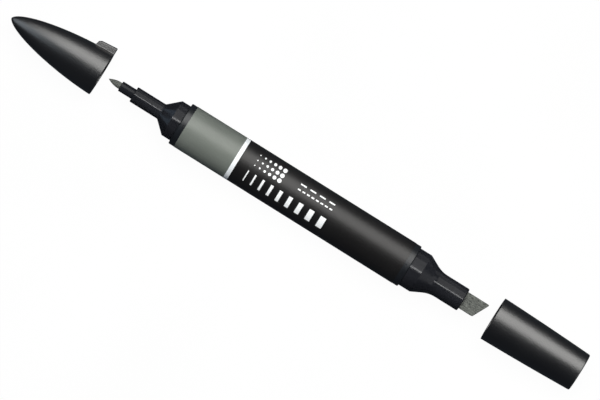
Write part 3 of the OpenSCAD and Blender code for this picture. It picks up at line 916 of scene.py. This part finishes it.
plainAngles = [math.atan2(z, y) for y, z in capSection(fineSkin(lug["length"]), 1e-6, 0)]


def makeFineCap():
    c = fineCap
    tipShare, tipSteps = 0.3, 34
    depths = [fineLength * (1 - tipShare * (k / tipSteps) ** 2) for k in range(1, tipSteps + 1)]
    body = depths[-1]
    lugFront = lug["length"] + 0.3
    crestStart = lug["length"] - lug["slope"] - 0.4
    mouthStart = c["mouthEdge"] + 0.05
    for start, end, steps in ((body, lugFront, 30), (lugFront, crestStart, 34), (crestStart, mouthStart, 12)):
        depths += [start + (end - start) * k / steps for k in range(1, steps + 1)]
    sections = [(x, capSection(fineSkin(x), lugRise(x), 0)) for x in depths]
    for k in range(7):
        turn = math.radians(15 * k)
        x = c["mouthEdge"] * (1 - math.sin(turn))
        inset = c["mouthEdge"] * (1 - math.cos(turn))
        sections.append((x, capSection(fineSkin(x), lugRise(x), inset)))
    inner = [(0, c["mouthBore"], 0.15), (c["mouthDepth"], c["mouthBore"], 0)]
    for k in range(13):
        x = c["mouthDepth"] + (c["socketDepth"] - c["mouthDepth"]) * k / 12
        inner.append((x, fineSkin(x) - c["wall"], 0))
    inner += [
        (c["socketDepth"], c["tipSocket"], 0.1), (c["linerEnd"], c["tipSocket"], 0.3),
        (c["linerEnd"], 0.1, 0),
    ]
    inner = roundCorners([(0, c["mouthBore"] + 0.4, 0)] + inner, closed=False)
    angles = [math.atan2(z, y) for y, z in sections[-1][1]]
    for x, r in inner:
        sections.append((x, [(r * math.cos(a), r * math.sin(a)) for a in angles]))
    rings = [[((fineMouth - x) * mm, y * mm, z * mm) for y, z in section] for x, section in sections]
    piece = loftPiece("fineCap", rings, capBlack)
    place(piece, "fine_cap", "cap_black", "fine_cap")


fineLiner = {
    "mouth": 8.5, "bore": 2.73, "wall": 0.6, "step": 17.44, "tipBore": 1.9, "end": 28.05,
}


def makeFineLiner():
    n = fineLiner
    outer, tipOuter = n["bore"] + n["wall"], n["tipBore"] + n["wall"]
    outline = roundCorners([
        (n["end"], 0, 0), (n["end"], tipOuter, 0.3), (n["step"] + n["wall"], tipOuter, 0.15),
        (n["step"] + n["wall"], outer, 0.25), (n["mouth"], outer, 0.15),
        (n["mouth"], n["bore"] + n["wall"] / 2, 0.1), (n["mouth"] + n["wall"], n["bore"], 0.15),
        (n["step"], n["bore"], 0.15), (n["step"], n["tipBore"], 0.1),
        (n["end"] - n["wall"], n["tipBore"], 0.3), (n["end"] - n["wall"], 0, 0),
    ], closed=False)
    piece = turnPiece("fineCapLiner", outline, fineMouth, -1, linerMilk, closed=False, segments=96)
    place(piece, "fine_cap", "liner_natural", "fine_cap_liner")


broadCap = {
    "end": 6.385, "bulge": 0.12, "mouthEdge": 0.2, "mouthBore": 6.73, "mouthDepth": 4.9, "wall": 0.95,
    "linerEnd": 29.3, "endEdge": 0.4, "recess": 5, "recessDepth": 0.5,
}
broadMouth, broadEnd = boxMm("broad_cap")[0].x, boxMm("broad_cap")[1].x
broadLength = broadEnd - broadMouth


def broadSkin(depth):
    t = depth / broadLength
    return capMouth + (broadCap["end"] - capMouth) * t + 4 * broadCap["bulge"] * t * (1 - t)


def makeBroadCap():
    c = broadCap
    corners = [(broadLength - c["recessDepth"], 0, 0), (broadLength - c["recessDepth"], c["recess"], 0.05),
               (broadLength, c["recess"], 0.08), (broadLength, c["end"], c["endEdge"])]
    for k in range(1, 24):
        x = (broadLength - 0.8) * (1 - k / 24) + 0.4
        corners.append((x, broadSkin(x), 0))
    corners += [
        (0, capMouth, c["mouthEdge"]), (0, c["mouthBore"], 0.15), (c["mouthDepth"], c["mouthBore"], 0),
    ]
    for k in range(13):
        x = c["mouthDepth"] + (c["linerEnd"] - c["mouthDepth"]) * k / 12
        corners.append((x, broadSkin(x) - c["wall"], 0.2 if k == 12 else 0))
    corners.append((c["linerEnd"], 0, 0))
    outline = roundCorners(corners, closed=False)
    piece = turnPiece("broadCap", outline, broadMouth, 1, capBlack, closed=False)
    place(piece, "broad_cap", "cap_black", "broad_cap")


broadLiner = {
    "mouth": 11.3, "bore": 3.985, "wall": 0.6, "end": 29.3, "fins": 6, "finThickness": 0.7,
    "finReach": 5.335, "finStart": 12.8,
}


def makeBroadLiner():
    n = broadLiner
    outer = n["bore"] + n["wall"]
    outline = roundCorners([
        (n["end"], 0, 0), (n["end"], outer, 0.2), (n["mouth"], outer, 0.15),
        (n["mouth"], n["bore"] + n["wall"] / 2, 0.1), (n["mouth"] + n["wall"], n["bore"], 0.15),
        (n["end"] - n["wall"], n["bore"], 0.4), (n["end"] - n["wall"], 0, 0),
    ], closed=False)
    fins = {
        "count": n["fins"], "from": n["finStart"], "to": n["end"],
        "inner": outer - n["wall"] / 2, "outer": n["finReach"], "thickness": n["finThickness"],
    }
    piece = turnPiece(
        "broadCapLiner", outline, broadMouth, 1, linerMilk, closed=False, segments=96, ribs=fins,
    )
    place(piece, "broad_cap", "liner_natural", "broad_cap_liner")


disc = {"edge": 0.12, "dishRadius": 3.6, "dishDepth": 0.08}


def makeDisc():
    low, high = boxMm("broad_cap_disc")
    thick = high.x - low.x
    outline = roundCorners([
        (0, 0, 0), (0, high.y, 0.05), (thick, high.y, disc["edge"]),
        (thick, disc["dishRadius"], 0.2), (thick - disc["dishDepth"], disc["dishRadius"] - 0.3, 0.2),
        (thick - disc["dishDepth"], 0, 0),
    ], closed=False, hold=0.03)
    piece = turnPiece("broadCapDisc", outline, low.x, 1, discGrey, closed=False)
    place(piece, "broad_cap", "ink_colour", "broad_cap_disc")


makeFineCap()
makeFineLiner()
makeBroadCap()
makeBroadLiner()
makeDisc()
print("caps made")

# the reservoir is sealed inside the barrel, so its CAD solids stay and only take their finish
for node, material in (("reservoir_core", reservoirFibre()), ("reservoir_wrap", wrapFilm())):
    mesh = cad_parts[node].data
    mesh.materials.clear()
    mesh.materials.append(material)
print("reservoir finished")


studio = {
    "fill": "#b8c6dc", "fillStrength": 0.14, "glossFill": 0.09, "whiteness": 1,
    "cameraAim": (2.145, -0.52), "cameraHeight": 2200, "cameraTurn": 31.98, "lens": 422.4,
}
# lights face the marker: tilt from upright, the way they tilt, distance, size, power, whether they light
# matt colour or only shine in gloss, and the only pieces they reach
lights = {
    "keyPanel": {"tilt": 17, "towards": (0, 1), "distance": 1, "size": (0.8, 0.8), "power": 14.4,
                 "colour": "#fffefb", "reach": "matt"},
    "softBox": {"tilt": 38.5, "towards": (0, 1), "distance": 1, "size": (1.15, 1.05), "power": 16.9,
                "colour": "#fffefb", "reach": "gloss"},
    "edgeStrip": {"tilt": 5.3, "towards": (0, 1), "distance": 1.35, "size": (2.2, 0.2), "power": 43,
                  "colour": "#ffffff", "reach": "gloss", "only": ["fineHolder", "broadHolder"]},
    "sideCard": {"tilt": 86, "towards": (0, 1), "distance": 1.3, "size": (2.2, 0.75), "power": 6.2,
                 "colour": "#ffffff", "reach": "gloss", "only": ["fineHolder", "broadHolder"]},
    "noseCard": {"tilt": 56, "towards": (-1, 0.04), "distance": 1.2, "size": (1.05, 1.1), "power": 8.5,
                 "colour": "#d6e0e8", "reach": "gloss", "only": ["fineCap"]},
    "fineCard": {"tilt": 77, "towards": (-1, 0.06), "distance": 1.2, "size": (1.6, 0.9), "power": 15,
                 "colour": "#aac6de", "reach": "gloss", "only": ["fineHolder"]},
    "broadCard": {"tilt": 50, "towards": (1, 0.08), "distance": 1.2, "size": (1.5, 0.38), "power": 4.6,
                  "colour": "#ffffff", "reach": "gloss", "only": ["broadHolder", "broadCap"]},
}


floorFinish = {
    "dark": "#2c2c2c", "light": "#323232", "glow": 0.965, "cloud": 60, "roughness": 0.9, "specular": 0,
}


# plain floor just under the marker that glows evenly, so it stays pale and takes no shadow
def makeFloor():
    s = floorFinish
    half, gap = 3, 0.0001
    low = cadBounds[0][2] - gap
    mesh = bpy.data.meshes.new("studioFloor")
    corners = [(-half, -half, low), (half, -half, low), (half, half, low), (-half, half, low)]
    mesh.from_pydata(corners, [], [(0, 1, 2, 3)])
    material, tree, shader, coords = startMaterial("paintedFloor", s["dark"], s)
    shader.inputs["Emission Color"].default_value = (1, 1, 1, 1)
    shader.inputs["Emission Strength"].default_value = s["glow"]
    colourBy(tree, shader, patternOf(tree, coords, s["cloud"], 2), s["dark"], s["light"])
    mesh.materials.append(material)
    floor = bpy.data.objects.new("studioFloor", mesh)
    bpy.context.scene.collection.objects.link(floor)
    floor.visible_glossy = False
    floor.visible_diffuse = False
    floor.visible_shadow = False


# rectangular light that faces the middle of the marker; its width runs across the way it tilts
def addSoftLight(name, look):
    light = bpy.data.lights.new(name, "AREA")
    light.shape = "RECTANGLE"
    light.size, light.size_y = look["size"]
    light.energy = look["power"]
    light.color = toLinear(look["colour"])[:3]
    lamp = bpy.data.objects.new(name, light)
    tilt = math.radians(look["tilt"])
    x, y = Vector(look["towards"]).normalized()
    lamp.location = Vector((x * math.sin(tilt), y * math.sin(tilt), math.cos(tilt))) * look["distance"]
    lamp.rotation_euler = (-tilt, 0, math.atan2(-x, y))
    lamp.visible_camera = False
    lamp.visible_glossy = look["reach"] != "matt"
    lamp.visible_diffuse = look["reach"] == "matt"
    if "only" in look:
        lit = bpy.data.collections.new(name + "Pieces")
        for piece in look["only"]:
            lit.objects.link(bpy.data.objects[piece])
        lamp.light_linking.receiver_collection = lit
    bpy.context.scene.collection.objects.link(lamp)


# the camera sees white all round, while the object sees a cool room that is dimmer still in reflections
def makeWorld():
    world = bpy.data.worlds.new("studioRoom")
    world.use_nodes = True
    tree = world.node_tree
    tree.nodes.clear()
    path = addNode(tree, "ShaderNodeLightPath").outputs
    cool = toLinear(studio["fill"])
    shades = (cool, studio["fillStrength"]), (cool, studio["glossFill"]), ((1, 1, 1, 1), studio["whiteness"])
    room, gloss, white = [
        addNode(tree, "ShaderNodeBackground", inputs={"Color": colour, "Strength": strength}).outputs[0]
        for colour, strength in shades
    ]
    inside = addNode(tree, "ShaderNodeMixShader", inputs={0: path["Is Glossy Ray"], 1: room, 2: gloss})
    mix = addNode(tree, "ShaderNodeMixShader", inputs={
        0: path["Is Camera Ray"], 1: inside.outputs[0], 2: white,
    })
    addNode(tree, "ShaderNodeOutputWorld", inputs={"Surface": mix.outputs[0]})
    bpy.context.scene.world = world


def makeCamera():
    data = bpy.data.cameras.new("camera")
    data.lens = studio["lens"]
    data.sensor_width = 36
    data.clip_end = 20
    camera = bpy.data.objects.new("camera", data)
    x, y = studio["cameraAim"]
    camera.location = (x * mm, y * mm, studio["cameraHeight"] * mm)
    camera.rotation_euler = (0, 0, math.radians(studio["cameraTurn"]))
    bpy.context.scene.collection.objects.link(camera)
    bpy.context.scene.camera = camera


makeFloor()
for name, look in lights.items():
    addSoftLight(name, look)
makeWorld()
makeCamera()
bpy.context.scene.view_settings.view_transform = "Standard"
print("studio made")
